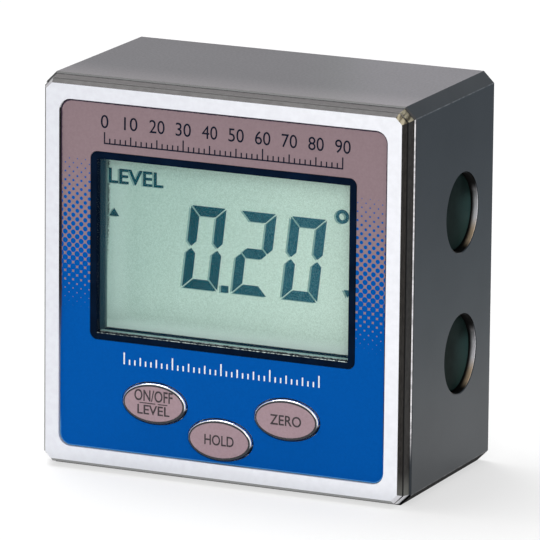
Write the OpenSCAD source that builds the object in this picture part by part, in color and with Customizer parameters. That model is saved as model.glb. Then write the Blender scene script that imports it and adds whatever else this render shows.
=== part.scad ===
// Digital angle gauge: a square metal block with a display and three keys on its front,
// magnets in its base and both sides, and a coin cell behind a turning cap in its back.
// Millimetres. The base lies on Z = 0, the front faces -Y, and X and Y are centred on the block.

/* [Block] */
// Width of the block across its side faces
body_w = 60; // [58:0.5:70]
// Height of the block from its base to its top face
body_h = 60; // [58:0.5:70]
// Depth from the front face of the bezel to the back of the block
body_d = 32; // [31:0.5:40]
// Chamfer along the four long edges
edge_chamfer = 1.7; // [0.8:0.1:2.2]
// Small chamfer around the front and back rims
edge_break = 0.25; // [0.1:0.05:0.4]
// Wall around the front chamber
front_wall = 2.4; // [2:0.1:2.8]
// Metal between a magnet pocket and the rear chamber
pocket_web = 1.2; // [0.8:0.1:2]

/* [Front bezel] */
// Step from the broken rim of the block in to the bezel
bezel_step = 0.05; // [0:0.05:0.3]
// Thickness of the bezel plate
bezel_t = 2.4; // [2.35:0.05:2.7]
// Thickness of the bezel's rear tier
tier_t = 1.4; // [0.8:0.05:1.5]
// How far the rear tier leans in towards the front
tier_lean = 0.25; // [0.1:0.05:0.4]
// Ledge between the rear tier and the front tier
tier_ledge = 0.15; // [0.05:0.05:0.3]
// Width of the bevel around the bezel's face
bevel_w = 0.5; // [0.2:0.05:0.7]
// Depth of the bevel around the bezel's face
bevel_depth = 0.75; // [0.3:0.05:0.8]
// Width of the bright rim around the label
rim_w = 2.2; // [1.8:0.05:2.6]
// Depth of the label recess
recess_depth = 0.65; // [0.5:0.05:0.8]
// Corner radius of the label recess
recess_r = 1.9; // [1.8:0.05:2.4]
// Thickness of the printed label
label_t = 0.25; // [0.15:0.05:0.4]

/* [Display] */
// Width of the clear window with its printed border
window_w = 43.1; // [38:0.1:45]
// Distance from the tops of the outer keys up to the window
window_foot = 5.7; // [5.4:0.1:8]
// Corner radius of the window
window_r = 1.1; // [0.5:0.1:2]
// Distance from the top of the label recess down to the window
window_drop = 7.65; // [7:0.05:9]
// Thickness of the window
window_t = 1.1; // [0.9:0.05:1.3]
// Width of the dark border printed around the window
border_w = 1.05; // [0.9:0.05:1.5]
// Depth from the label's face to the display panel
display_depth = 3.6; // [3.2:0.1:4.4]
// Thickness of each of the panel's two glass plates
glass_t = 1.1; // [0.7:0.1:1.3]
// How far the panel reaches behind the edge of the clear opening
panel_margin = 1.7; // [1.2:0.1:2]
// Ledge of the panel's front glass that carries its contacts
contact_ledge = 2.4; // [2:0.1:3]
// Room between the panel and the circuit board
panel_rise = 2; // [1.6:0.1:2.6]

/* [Keys] */
// Width of a key
key_w = 10.5; // [9:0.1:11]
// Height of a key
key_h = 6.3; // [5.4:0.1:6.8]
// Spacing of the keys across the front
key_pitch = 10.8; // [10.5:0.1:12]
// How much lower the middle key sits than the outer keys
key_drop = 4.35; // [3.8:0.05:5]
// Distance from the bottom of the label recess up to the middle key
key_margin = 0.6; // [0.5:0.05:1]
// Height of a key's face above the label
key_raise = 0.5; // [0.4:0.05:0.8]
// Width of the rounded edge around a key's face
key_edge = 0.43; // [0.3:0.01:0.6]
// Travel of a key when it is pressed
key_travel = 0.35; // [0.2:0.05:0.45]

/* [Magnets] */
// Diameter of a magnet pocket
pocket_d = 12; // [10:0.1:12.6]
// Chamfer around the mouth of a magnet pocket
pocket_break = 0.15; // [0.05:0.05:0.4]
// Depth of a magnet's face below the side of the block
magnet_recess = 1.1; // [0.6:0.1:1.5]
// Thickness of a magnet
magnet_t = 4; // [3.5:0.1:5]
// Distance between the centres of a pair of magnets
magnet_pitch = 21.6; // [18:0.1:23]
// Distance from the back of the block to the magnets' centres
magnet_set = 11.6; // [10.5:0.1:12]

/* [Circuit board] */
// Thickness of the circuit board
board_t = 1.6; // [1:0.1:2]
// Width of a push switch
switch_w = 6; // [5:0.1:6.2]
// Height of a push switch's housing
switch_h = 3; // [2.6:0.1:3.2]
// Diameter of a switch plunger
plunger_d = 3.4; // [2.5:0.1:3.8]
// Height of a plunger above its housing
plunger_rise = 1; // [0.8:0.05:1.1]

/* [Battery] */
// Diameter of the coin cell
cell_d = 20; // [16:0.1:24.5]
// Thickness of the coin cell
cell_t = 3.2; // [1.6:0.1:5]
// Thickness of the back cover
cover_t = 3; // [2.8:0.1:3.6]
// Turn that frees the battery cap
cap_turn = 60; // [50:5:90]
// Width of the coin slot
slot_w = 1.8; // [1.4:0.1:2.4]
// Thickness of the contacts' spring strip
strip_t = 0.3; // [0.2:0.05:0.4]

/* [Screws] */
// Diameter of a screw's shank
screw_d = 2; // [1.6:0.1:2.2]
// Diameter of a countersunk head
csk_d = 3.4; // [2.8:0.1:3.5]
// Diameter of a pan head
pan_d = 3.5; // [3:0.1:3.8]
// Length of a screw in the metal that holds it
screw_grip = 4; // [3:0.1:4.4]

/* [Hidden] */
$fn = 64;
eps = 0.01;

// Clearances
label_gap = 0.1;
lens_gap = 0.08;
key_gap = 0.15;
board_gap = 0.3;
panel_gap = 0.15;
magnet_gap = 0.04;
thread_gap = 0.03;
shank_gap = 0.15;
rest_gap = 0.05;
plunger_gap = 0.1;
cover_gap = 0.15;
cap_gap = 0.15;
lug_gap = 0.1;
cell_gap = 0.3;
contact_gap = 0.15;

// Planes across the depth
y_front = -body_d / 2;
y_back = body_d / 2;
y_rim = y_front + bezel_t;
y_tier = y_rim - tier_t;
y_bevel = y_front + bevel_depth;
y_floor = y_front + recess_depth;
y_label = y_floor - label_t;
y_lens_back = y_label + window_t;
y_panel = y_label + display_depth;
y_board = y_panel + 2 * glass_t + panel_rise;
y_ledge = y_board + board_t;
y_cover = y_back - cover_t;

// Outlines seen from the front
mid_z = body_h / 2;
corner_span = (body_w + body_h) / sqrt(2) - sqrt(2) * edge_chamfer;
bezel_inset = edge_break + bezel_step;
tier_inset = bezel_inset + tier_lean;
wall_inset = tier_inset + tier_ledge;
face_inset = wall_inset + bevel_w;
recess_w = body_w - 2 * (face_inset + rim_w);
recess_h = body_h - 2 * (face_inset + rim_w);
hold_z = mid_z - recess_h / 2 + key_margin + key_h / 2;
row_z = hold_z + key_drop;
window_top = mid_z + recess_h / 2 - window_drop;
window_base = row_z + key_h / 2 + window_foot;
window_h = window_top - window_base;
window_z = (window_top + window_base) / 2;
clear_w = window_w - 2 * border_w;
clear_h = window_h - 2 * border_w;
panel_w = clear_w + 2 * panel_margin;
panel_h = clear_h + 2 * panel_margin;
frame_wall = 1.3;
frame_r = 1;
peg_d = 1;
peg_set = 4;
frame_w = panel_w + 2 * (panel_gap + frame_wall);
frame_h = panel_h + 2 * (panel_gap + frame_wall);
collar_wall = 0.5;
collar_w = clear_w + 2 * collar_wall;
collar_h = clear_h + 2 * collar_wall;

// Chambers of the block
chamber_w = body_w - 2 * front_wall;
chamber_h = body_h - 2 * front_wall;
pocket_depth = magnet_recess + magnet_t;
rear_wall = pocket_depth + pocket_web;
rear_w = body_w - 2 * rear_wall;
rear_h = body_h - 2 * rear_wall;
cover_seat = 2;
rebate_w = rear_w + 2 * cover_seat;
rebate_h = rear_h + 2 * cover_seat;
rebate_r = 2;
magnet_y = y_back - magnet_set;
magnet_bevel = 0.35;

// Screw places, as distances from the middle of the front
post_wall = 1.4;
post_r = screw_d / 2 + post_wall;
bezel_screw_x = recess_w / 2 - recess_r;
bezel_screw_z = recess_h / 2 - recess_r;
cover_screw_set = 2.3;
cover_screw_x = rear_w / 2 - cover_screw_set;
cover_screw_z = rear_h / 2 - cover_screw_set;
head_margin = 0.2;
low_screw_set = 8.5;
top_screw_set = 13;
low_screw_x = chamber_w / 2 - low_screw_set;
top_screw_x = chamber_w / 2 - top_screw_set;
board_screw_z = chamber_h / 2 - pan_d / 2 - head_margin;
thread_runout = 0.4;

// Screw heads
head_land = 0.15;
head_grow = 0.05;
pan_h = 1.3;
pan_round = 0.5;
recess_arm = 0.5;
csk_cross = 1.9;
csk_cross_depth = 0.55;
pan_cross = 2.1;
pan_cross_depth = 0.7;

// Keys
key_lip = 0.5;
key_lip_t = 0.8;
y_key_lip = y_rim + rest_gap;
y_key_back = y_key_lip + key_lip_t;
y_switch = y_board - switch_h;
y_plunger = y_switch - plunger_rise;
plunger_tail = 1;
key_stem_d = 4;

// Battery well and cap, on an axis through the middle of the back
cap_flange_t = 1.2;
seal_t = 0.5;
lug_t = 1;
spring_room = 1;
well_floor = 1;
bore_ring = 1.5;
lug_rise = 1;
flange_rim = 1.6;
well_wall = 1.2;
bore_r = cell_d / 2 + bore_ring;
lug_r = bore_r + lug_rise;
groove_r = lug_r + cap_gap;
flange_r = bore_r + flange_rim;
well_r = groove_r + well_wall;
seat_r = cell_d / 2 + cell_gap;
y_flange_back = y_back - cap_flange_t;
y_seal_back = y_flange_back - seal_t;
y_lug = y_cover - lug_gap;
y_groove = y_lug - lug_t - lug_gap;
y_cell = y_groove - cell_t;
y_well = y_cell - spring_room;
y_well_out = y_well - well_floor;
lug_angle = 30;
notch_play = 6;
notch_angle = lug_angle + notch_play;
slot_end = 3.5;
slot_len = 2 * (bore_r - slot_end);
slot_depth = 1.1;
strip_w = 3.6;
tail_len = 1.6;
tail_set = 0.7;
plus_r = seat_r + tail_set;
minus_r = seat_r - tail_set;
lead_d = 1;

// Plate between two depths, from an outline drawn as seen from the front
module slab(y0, y1) {
    translate([0, y1, 0])
        rotate([90, 0, 0])
            linear_extrude(y1 - y0)
                children();
}

// Stands children built along +Z on a depth, pointing to the back
module to_back(x, y, z) {
    translate([x, y, z])
        rotate([-90, 0, 0])
            children();
}

// Rectangle with round corners, around a height above the base
module round_square(w, h, r, z) {
    translate([0, z]) {
        square([w - 2 * r, h], center = true);
        square([w, h - 2 * r], center = true);
        for (sx = [-1, 1], sz = [-1, 1])
            translate([sx * (w / 2 - r), sz * (h / 2 - r)])
                circle(r);
    }
}

// Oval outline of a key, grown by a margin
module oval(grow) {
    steps = 72;
    polygon([
        for (i = [0:steps - 1])
            [(key_w / 2 + grow) * cos(360 * i / steps), (key_h / 2 + grow) * sin(360 * i / steps)]
    ]);
}

// Places children at the middle of each key, in the plane of the front
module at_keys() {
    for (side = [-1, 1])
        translate([side * key_pitch, row_z])
            children();
    translate([0, hold_z])
        children();
}

// Places children at four corners around the middle of the front
module at_corners(dx, dz, y) {
    for (sx = [-1, 1], sz = [-1, 1])
        to_back(sx * dx, y, mid_z + sz * dz)
            children();
}

// Places children at the four board screws
module at_board_screws(y) {
    for (side = [-1, 1]) {
        to_back(side * top_screw_x, y, mid_z + board_screw_z)
            children();
        to_back(side * low_screw_x, y, mid_z - board_screw_z)
            children();
    }
}

// Prism through the block, turned about its depth. Two opposite sides of it follow an edge profile,
// a list of insets from the side against depths, from the front to the back
module turned_profile(angle, span, edge) {
    ends = len(edge) - 1;
    translate([0, 0, mid_z])
        rotate([0, angle, 0])
            linear_extrude(body_w + body_h, center = true)
                polygon([
                    for (point = edge)
                        [span / 2 - point[0], point[1]],
                    for (i = [ends:-1:0])
                        [edge[i][0] - span / 2, edge[i][1]]
                ]);
}

// Square form with cut corners, its four sides and four cuts all following one edge profile
module rimmed_form(edge) {
    intersection() {
        turned_profile(0, body_w, edge);
        turned_profile(90, body_h, edge);
        turned_profile(45, corner_span, edge);
        turned_profile(-45, corner_span, edge);
    }
}

// Screw shank profile's last points, with a short point at its end
function shank_end(len) = [
    [screw_d / 2, len - screw_d / 4], [screw_d / 4, len], [0, len]
];

// Countersunk screw along +Z, its head flush at 0
module csk_screw(len) {
    head_end = head_land + (csk_d - screw_d) / 2;
    difference() {
        rotate_extrude()
            polygon(concat(
                [[0, 0], [csk_d / 2, 0], [csk_d / 2, head_land], [screw_d / 2, head_end]],
                shank_end(len)
            ));
        cross_recess(csk_cross, csk_cross_depth);
    }
}

// Pan head screw along +Z, the head's seat at 0
module pan_screw(len) {
    difference() {
        rotate_extrude()
            polygon(concat(
                [[0, -pan_h], [pan_d / 2 - pan_round, -pan_h], [pan_d / 2, pan_round - pan_h]],
                [[pan_d / 2, 0], [screw_d / 2, 0]],
                shank_end(len)
            ));
        translate([0, 0, -pan_h])
            cross_recess(pan_cross, pan_cross_depth);
    }
}

// Cross recess of a span and a depth, sunk along +Z
module cross_recess(arms, depth) {
    for (turn = [0, 90])
        rotate([0, 0, turn])
            translate([-arms / 2, -recess_arm / 2, -eps])
                cube([arms, recess_arm, depth + eps]);
}

// Hole for a countersunk screw through a plate, along +Z from the plate's face
module csk_hole(depth) {
    r = csk_d / 2 + head_grow;
    shank = screw_d / 2 + shank_gap;
    land = head_land + head_grow;
    rotate_extrude()
        polygon([
            [0, -eps], [r, -eps], [r, land], [shank, land + r - shank],
            [shank, depth + eps], [0, depth + eps]
        ]);
}

// Threaded hole along +Z, a little deeper than the screw reaches
module thread_hole() {
    translate([0, 0, -eps])
        cylinder(h = screw_grip + thread_runout + eps, r = screw_d / 2 + thread_gap);
}

// Places children on a magnet pocket's mouth, with +Z pointing out of the block
module at_side_pockets(side) {
    for (s = [-1, 1])
        translate([side * body_w / 2, magnet_y, mid_z + s * magnet_pitch / 2])
            rotate([0, side * 90, 0])
                children();
}

module at_base_pockets() {
    for (s = [-1, 1])
        translate([s * magnet_pitch / 2, magnet_y, 0])
            rotate([180, 0, 0])
                children();
}

// Magnet pocket with a broken edge around its mouth
module pocket() {
    r = pocket_d / 2;
    rotate_extrude()
        polygon([
            [0, -pocket_depth], [r, -pocket_depth], [r, -pocket_break], [r + pocket_break, 0],
            [r + pocket_break, eps], [0, eps]
        ]);
}

module magnet() {
    r = pocket_d / 2 - magnet_gap;
    bevel = magnet_bevel;
    translate([0, 0, -pocket_depth])
        rotate_extrude()
            polygon([
                [0, 0], [r - bevel, 0], [r, bevel], [r, magnet_t - bevel],
                [r - bevel, magnet_t], [0, magnet_t]
            ]);
}

// Corner posts inside a chamber, from a distance off the middle out to the chamber's corner
module corner_posts(w, h, from_x, from_z) {
    for (sx = [-1, 1], sz = [-1, 1])
        translate([sx * (from_x + w / 2) / 2, mid_z + sz * (from_z + h / 2) / 2])
            square([w / 2 - from_x, h / 2 - from_z], center = true);
}

// Open inside of the front chamber, around the posts that hold the bezel
module front_chamber() {
    slab(y_rim - eps, y_ledge)
        difference() {
            translate([0, mid_z])
                square([chamber_w, chamber_h], center = true);
            corner_posts(chamber_w + eps, chamber_h + eps, bezel_screw_x - post_r, bezel_screw_z - post_r);
        }
}

// Open inside of the rear chamber, around the posts that hold the back cover
module rear_chamber() {
    slab(y_ledge - eps, y_cover + eps)
        difference() {
            translate([0, mid_z])
                square([rear_w, rear_h], center = true);
            corner_posts(rear_w + eps, rear_h + eps, cover_screw_x - post_r, cover_screw_z - post_r);
        }
    slab(y_cover, y_back + eps)
        round_square(rebate_w, rebate_h, rebate_r, mid_z);
}

module body_block() {
    color("dimgray")
        difference() {
            rimmed_form([
                [edge_break, y_rim], [0, y_rim + edge_break], [0, y_back - edge_break], [edge_break, y_back]
            ]);
            front_chamber();
            rear_chamber();
            at_side_pockets(1)
                pocket();
            at_side_pockets(-1)
                pocket();
            at_base_pockets()
                pocket();
            at_corners(bezel_screw_x, bezel_screw_z, y_rim)
                thread_hole();
            at_board_screws(y_ledge)
                thread_hole();
            at_corners(cover_screw_x, cover_screw_z, y_cover)
                rotate([180, 0, 0])
                    thread_hole();
        }
}

module front_bezel() {
    color("gainsboro")
        difference() {
            rimmed_form([
                [face_inset, y_front], [wall_inset, y_bevel], [wall_inset, y_tier],
                [tier_inset, y_tier], [bezel_inset, y_rim]
            ]);
            slab(y_front - eps, y_floor)
                round_square(recess_w, recess_h, recess_r, mid_z);
            slab(y_front - eps, y_lens_back)
                round_square(window_w + 2 * lens_gap, window_h + 2 * lens_gap, window_r + lens_gap, window_z);
            slab(y_front - eps, y_rim + eps)
                translate([0, window_z])
                    square([collar_w + 2 * lens_gap, collar_h + 2 * lens_gap], center = true);
            slab(y_front - eps, y_rim + eps)
                at_keys()
                    oval(key_gap);
            at_corners(bezel_screw_x, bezel_screw_z, y_floor)
                csk_hole(y_rim - y_floor);
        }
}

module front_label() {
    color("royalblue")
        slab(y_label, y_floor)
            difference() {
                round_square(recess_w - 2 * label_gap, recess_h - 2 * label_gap, recess_r - label_gap, mid_z);
                round_square(window_w + 2 * lens_gap, window_h + 2 * lens_gap, window_r + lens_gap, window_z);
                at_keys()
                    oval(key_gap);
            }
}

module display_window() {
    color("lightcyan", 0.4)
        slab(y_label, y_lens_back)
            round_square(window_w, window_h, window_r, window_z);
}

// Two glass plates; the front one is taller and carries a contact ledge at its top and bottom
module lcd_panel() {
    color("darkseagreen") {
        slab(y_panel, y_panel + glass_t)
            translate([0, window_z])
                square([panel_w, panel_h], center = true);
        slab(y_panel + glass_t - eps, y_panel + 2 * glass_t)
            translate([0, window_z])
                square([panel_w, panel_h - 2 * contact_ledge], center = true);
    }
}

// Black frame that shades the panel, holds it by its edges and pegs it to the board
module lcd_frame() {
    color("black") {
        difference() {
            union() {
                slab(y_lens_back + rest_gap, y_panel)
                    translate([0, window_z])
                        square([collar_w, collar_h], center = true);
                slab(y_rim + rest_gap, y_board)
                    round_square(frame_w, frame_h, frame_r, window_z);
            }
            slab(y_front, y_panel + eps)
                translate([0, window_z])
                    square([clear_w, clear_h], center = true);
            slab(y_panel, y_board + eps)
                translate([0, window_z])
                    square([panel_w + 2 * panel_gap, panel_h + 2 * panel_gap], center = true);
        }
        at_pegs(y_board - eps)
            cylinder(h = board_t - rest_gap, d = peg_d);
    }
}

module at_pegs(y) {
    for (sx = [-1, 1], sz = [-1, 1])
        to_back(sx * (frame_w - frame_wall) / 2, y, window_z + sz * (frame_h / 2 - peg_set))
            children();
}

// Rubber strips between the panel's contact ledges and the board
module zebra_strips() {
    glass_gap = 0.5;
    end_gap = 2;
    strip_h = contact_ledge - glass_gap;
    color("hotpink")
        slab(y_panel + glass_t, y_board)
            for (s = [-1, 1])
                translate([0, window_z + s * (panel_h - strip_h) / 2])
                    square([panel_w - 2 * end_gap, strip_h], center = true);
}

module circuit_board() {
    w = chamber_w - 2 * board_gap;
    h = chamber_h - 2 * board_gap;
    past_edge = 1;
    color("darkgreen")
        difference() {
            slab(y_board, y_ledge)
                difference() {
                    translate([0, mid_z])
                        square([w, h], center = true);
                    corner_posts(
                        w + past_edge, h + past_edge,
                        bezel_screw_x - post_r - board_gap, bezel_screw_z - post_r - board_gap
                    );
                }
            at_pegs(y_board - eps)
                cylinder(h = board_t + 2 * eps, r = peg_d / 2 + shank_gap);
            at_board_screws(y_board - eps)
                cylinder(h = board_t + 2 * eps, r = screw_d / 2 + shank_gap);
        }
}

// Dome of potting resin over the controller, on the back of the board
module controller_dome() {
    dome_d = 12;
    dome_h = 1.7;
    arc_r = (pow(dome_d / 2, 2) + pow(dome_h, 2)) / (2 * dome_h);
    arc_angle = asin(dome_d / 2 / arc_r);
    arc_steps = 16;
    color("black")
        to_back(0, y_ledge, mid_z)
            rotate_extrude()
                polygon([
                    [0, 0],
                    for (i = [arc_steps:-1:0])
                        let (a = arc_angle * i / arc_steps)
                            [arc_r * sin(a), dome_h - arc_r * (1 - cos(a))]
                ]);
}

// Flat sensor package on the back of the board, with a round mark sunk in one corner
module tilt_sensor() {
    sensor_x = 12;
    sensor_z = 9;
    size = 5;
    rise = 1.6;
    mark_d = 0.7;
    mark_depth = 0.2;
    mark_edge = 1;
    mark_set = size / 2 - mark_edge;
    color("dimgray")
        to_back(sensor_x, y_ledge, mid_z + sensor_z)
            difference() {
                translate([-size / 2, -size / 2, 0])
                    cube([size, size, rise]);
                translate([mark_set, mark_set, rise - mark_depth])
                    cylinder(h = mark_depth + eps, d = mark_d);
            }
}

// Cylindrical crystal lying on the back of the board, with its two bent leads
module clock_crystal() {
    can_d = 2;
    can_len = 6;
    lead = 0.35;
    lead_len = 1.5;
    lead_pitch = 0.7;
    crystal_x = 12;
    crystal_z = 6;
    color("silver")
        translate([-crystal_x, y_ledge + can_d / 2, mid_z + crystal_z]) {
            cylinder(h = can_len, d = can_d);
            for (s = [-1, 1])
                translate([s * lead_pitch / 2, 0, -lead_len]) {
                    cylinder(h = lead_len + eps, d = lead);
                    rotate([90, 0, 0])
                        cylinder(h = can_d / 2, d = lead);
                    sphere(d = lead);
                }
        }
}

// Two columns of chip capacitors on the back of the board
module board_capacitors() {
    chip_w = 2;
    chip_h = 1.25;
    chip_rise = 0.9;
    rows = 3;
    row_pitch = 4;
    column_x = 10;
    first_row = 13;
    color("tan")
        for (row = [0:rows - 1], side = [-1, 1])
            translate([side * column_x - chip_w / 2, y_ledge, mid_z - first_row + row_pitch * row])
                cube([chip_w, chip_rise, chip_h]);
}

// Square switch housing along +Z with a bore for its plunger and four solder tabs
module switch_housing() {
    bore_runout = 0.2;
    bore_depth = plunger_tail + key_travel + bore_runout;
    tab_len = 0.8;
    tab_w = 1.1;
    tab_t = 0.2;
    difference() {
        translate([-switch_w / 2, -switch_w / 2, 0])
            cube([switch_w, switch_w, switch_h]);
        translate([0, 0, switch_h - bore_depth])
            cylinder(h = bore_depth + eps, d = plunger_d + 2 * plunger_gap);
    }
    for (sx = [-1, 1], sy = [-1, 1])
        translate([sx * (switch_w / 2 + tab_len / 2 - eps), sy * switch_w / 3, tab_t / 2])
            cube([tab_len, tab_w, tab_t], center = true);
}

module key_switches() {
    color("darkslategray")
        translate([0, y_board, 0])
            rotate([90, 0, 0])
                at_keys()
                    switch_housing();
}

module plunger(x, z) {
    translate([x, y_plunger, z])
        rotate([-90, 0, 0])
            cylinder(h = plunger_rise + plunger_tail, d = plunger_d);
}

module mode_plunger() {
    color("saddlebrown")
        plunger(-key_pitch, row_z);
}

module hold_plunger() {
    color("saddlebrown")
        plunger(0, hold_z);
}

module zero_plunger() {
    color("saddlebrown")
        plunger(key_pitch, row_z);
}

// Key with a rounded edge, a lip behind the bezel and a stem to its switch
module key_form(x, z) {
    edge_steps = 6;
    translate([x, 0, z]) {
        hull()
            for (i = [0:edge_steps]) {
                turn = 90 * i / edge_steps;
                y = y_label - key_raise * sin(turn);
                slab(y, y + eps)
                    oval(-key_edge * (1 - cos(turn)));
            }
        slab(y_label, y_key_lip + eps)
            oval(0);
        slab(y_key_lip, y_key_back)
            oval(key_lip);
        to_back(0, y_key_back - eps, 0)
            cylinder(h = y_plunger - y_key_back - rest_gap + eps, d = key_stem_d);
    }
}

module mode_key() {
    color("rosybrown")
        key_form(-key_pitch, row_z);
}

module hold_key() {
    color("rosybrown")
        key_form(0, hold_z);
}

module zero_key() {
    color("rosybrown")
        key_form(key_pitch, row_z);
}

module bezel_screws() {
    color("silver")
        at_corners(bezel_screw_x, bezel_screw_z, y_floor)
            csk_screw(y_rim - y_floor + screw_grip);
}

module board_screws() {
    color("silver")
        at_board_screws(y_board)
            pan_screw(board_t + screw_grip);
}

// Ring sector along +Z, between two radii, around an angle
module sector(r0, r1, h, angle, span) {
    rotate([0, 0, angle - span / 2])
        rotate_extrude(angle = span)
            translate([r0, 0])
                square([r1 - r0, h]);
}

// Inset plate with a round battery well behind it
module back_cover() {
    color("dimgray")
        difference() {
            union() {
                slab(y_cover, y_back)
                    round_square(
                        rebate_w - 2 * cover_gap, rebate_h - 2 * cover_gap, rebate_r - cover_gap, mid_z
                    );
                to_back(0, y_well_out, mid_z)
                    cylinder(h = y_cover - y_well_out + eps, r = well_r);
            }
            to_back(0, y_seal_back, mid_z)
                cylinder(h = cover_t, r = flange_r + cap_gap);
            to_back(0, y_groove, mid_z) {
                cylinder(h = y_back - y_groove, r = bore_r);
                cylinder(h = y_cover - y_groove, r = groove_r);
                for (turn = [0, 180])
                    sector(seat_r, groove_r, y_seal_back - y_groove + eps, turn + cap_turn, notch_angle);
            }
            to_back(0, y_well, mid_z)
                cylinder(h = cell_t + spring_room + eps, r = seat_r);
            contact_slots();
            at_corners(cover_screw_x, cover_screw_z, y_back)
                rotate([180, 0, 0])
                    csk_hole(cover_t);
        }
}

// Room in the well for the two contacts and their tails
module contact_slots() {
    w = strip_w + 2 * contact_gap;
    t = strip_t + 2 * contact_gap;
    translate([-w / 2, y_well, mid_z])
        cube([w, y_groove - y_well + eps, plus_r + strip_t + contact_gap]);
    for (z = [plus_r, -minus_r - strip_t])
        translate([-w / 2, y_well_out - eps, mid_z + z - contact_gap])
            cube([w, well_floor + 2 * eps, t]);
}

module cover_screws() {
    color("silver")
        at_corners(cover_screw_x, cover_screw_z, y_back)
            rotate([180, 0, 0])
                csk_screw(cover_t + screw_grip);
}

// Cap with a coin slot in its face and two bayonet lugs below its flange
module battery_cap() {
    spigot_r = bore_r - cap_gap;
    face_bevel = 0.3;
    color("dimgray")
        difference() {
            to_back(0, y_lug - lug_t, mid_z) {
                cylinder(h = y_flange_back - y_lug + lug_t + eps, r = spigot_r);
                translate([0, 0, y_flange_back - y_lug + lug_t])
                    rotate_extrude()
                        polygon([
                            [0, 0], [flange_r, 0], [flange_r, cap_flange_t - face_bevel],
                            [flange_r - face_bevel, cap_flange_t], [0, cap_flange_t]
                        ]);
                for (turn = [0, 180])
                    sector(seat_r, lug_r, lug_t, turn, lug_angle);
            }
            translate([-slot_len / 2, y_back - slot_depth, mid_z - slot_w / 2])
                cube([slot_len, slot_depth + eps, slot_w]);
        }
}

module cap_seal() {
    color("black")
        to_back(0, y_seal_back, mid_z)
            difference() {
                cylinder(h = seal_t, r = flange_r);
                translate([0, 0, -eps])
                    cylinder(h = seal_t + 2 * eps, r = bore_r);
            }
}

// Coin cell: a wide can towards the cap and a smaller lid towards the board
module coin_cell() {
    r = cell_d / 2;
    step = 1.1;
    lid_h = 0.5;
    bevel = 0.3;
    color("lightgray")
        to_back(0, y_cell, mid_z)
            rotate_extrude()
                polygon([
                    [0, 0], [r - step, 0], [r - step, lid_h], [r, lid_h],
                    [r, cell_t - bevel], [r - bevel, cell_t], [0, cell_t]
                ]);
}

// Half of a bent strip, as a round bulge of spring sheet along X
module strip_bulge(r) {
    rotate([0, 90, 0])
        difference() {
            cylinder(h = strip_w, r = r, center = true);
            cylinder(h = strip_w + 2 * eps, r = r - strip_t, center = true);
        }
}

// Strip up the side of the well with a bulge that presses on the cell's rim
module positive_contact() {
    bulge_r = plus_r + strip_t / 2 - cell_d / 2 - rest_gap;
    bulge_y = (y_cell + y_groove) / 2;
    color("gold") {
        translate([-strip_w / 2, y_well_out - tail_len, mid_z + plus_r])
            cube([strip_w, y_groove - rest_gap - y_well_out + tail_len, strip_t]);
        intersection() {
            translate([0, bulge_y, mid_z + plus_r + strip_t / 2])
                strip_bulge(bulge_r);
            translate([-strip_w / 2, y_well, mid_z])
                cube([strip_w, cell_t * 2, plus_r + strip_t / 2]);
        }
    }
}

// Strip on the floor of the well with an arch that presses on the cell's lid
module negative_contact() {
    arch_r = 2;
    color("gold") {
        translate([-strip_w / 2, y_well, mid_z - minus_r - strip_t])
            cube([strip_w, strip_t, minus_r + strip_t - arch_r / 2]);
        translate([-strip_w / 2, y_well_out - tail_len, mid_z - minus_r - strip_t])
            cube([strip_w, y_well - y_well_out + tail_len + strip_t, strip_t]);
        intersection() {
            translate([0, y_cell - rest_gap - arch_r, mid_z])
                strip_bulge(arch_r);
            translate([-strip_w / 2, y_well, mid_z - arch_r])
                cube([strip_w, spring_room, 2 * arch_r]);
        }
    }
}

// Two insulated leads from the contacts' tails to the back of the board
module battery_leads() {
    grip = 1.2;
    len = y_well_out - tail_len + grip - y_ledge;
    color("firebrick")
        for (z = [plus_r + strip_t + lead_d / 2 + rest_gap, -minus_r - strip_t - lead_d / 2 - rest_gap])
            to_back(0, y_ledge, mid_z + z)
                cylinder(h = len, d = lead_d);
}

module right_magnets() {
    color("darkslategray")
        at_side_pockets(1)
            magnet();
}

module left_magnets() {
    color("darkslategray")
        at_side_pockets(-1)
            magnet();
}

module base_magnets() {
    color("darkslategray")
        at_base_pockets()
            magnet();
}

body_block();
front_bezel();
front_label();
display_window();
lcd_panel();
lcd_frame();
zebra_strips();
circuit_board();
controller_dome();
tilt_sensor();
clock_crystal();
board_capacitors();
key_switches();
mode_key();
hold_key();
zero_key();
mode_plunger();
hold_plunger();
zero_plunger();
bezel_screws();
board_screws();
back_cover();
cover_screws();
battery_cap();
cap_seal();
coin_cell();
positive_contact();
negative_contact();
battery_leads();
right_magnets();
left_magnets();
base_magnets();
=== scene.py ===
import math

import bpy
from mathutils import Matrix, Vector


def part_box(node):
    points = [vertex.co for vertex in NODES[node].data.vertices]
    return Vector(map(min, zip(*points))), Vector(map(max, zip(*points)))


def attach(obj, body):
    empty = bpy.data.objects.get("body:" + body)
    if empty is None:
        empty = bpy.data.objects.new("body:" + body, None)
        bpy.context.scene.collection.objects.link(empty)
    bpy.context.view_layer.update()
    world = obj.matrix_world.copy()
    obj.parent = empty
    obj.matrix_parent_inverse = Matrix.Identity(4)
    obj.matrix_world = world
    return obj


# Digital angle gauge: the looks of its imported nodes, the print on its display, keys and label,
# and a plain studio. Places on the part are in millimetres, places in the studio are in metres.
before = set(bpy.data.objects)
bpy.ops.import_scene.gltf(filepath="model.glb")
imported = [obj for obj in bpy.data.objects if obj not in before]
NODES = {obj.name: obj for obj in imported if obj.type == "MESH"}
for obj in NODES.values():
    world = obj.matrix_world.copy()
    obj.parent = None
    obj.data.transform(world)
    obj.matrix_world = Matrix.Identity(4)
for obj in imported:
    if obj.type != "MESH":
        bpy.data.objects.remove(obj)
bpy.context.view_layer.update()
MM = 0.001


def span(node):
    """Lowest and highest corner of a CAD node, in millimetres."""
    lo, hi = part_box(node)
    return lo / MM, hi / MM


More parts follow.
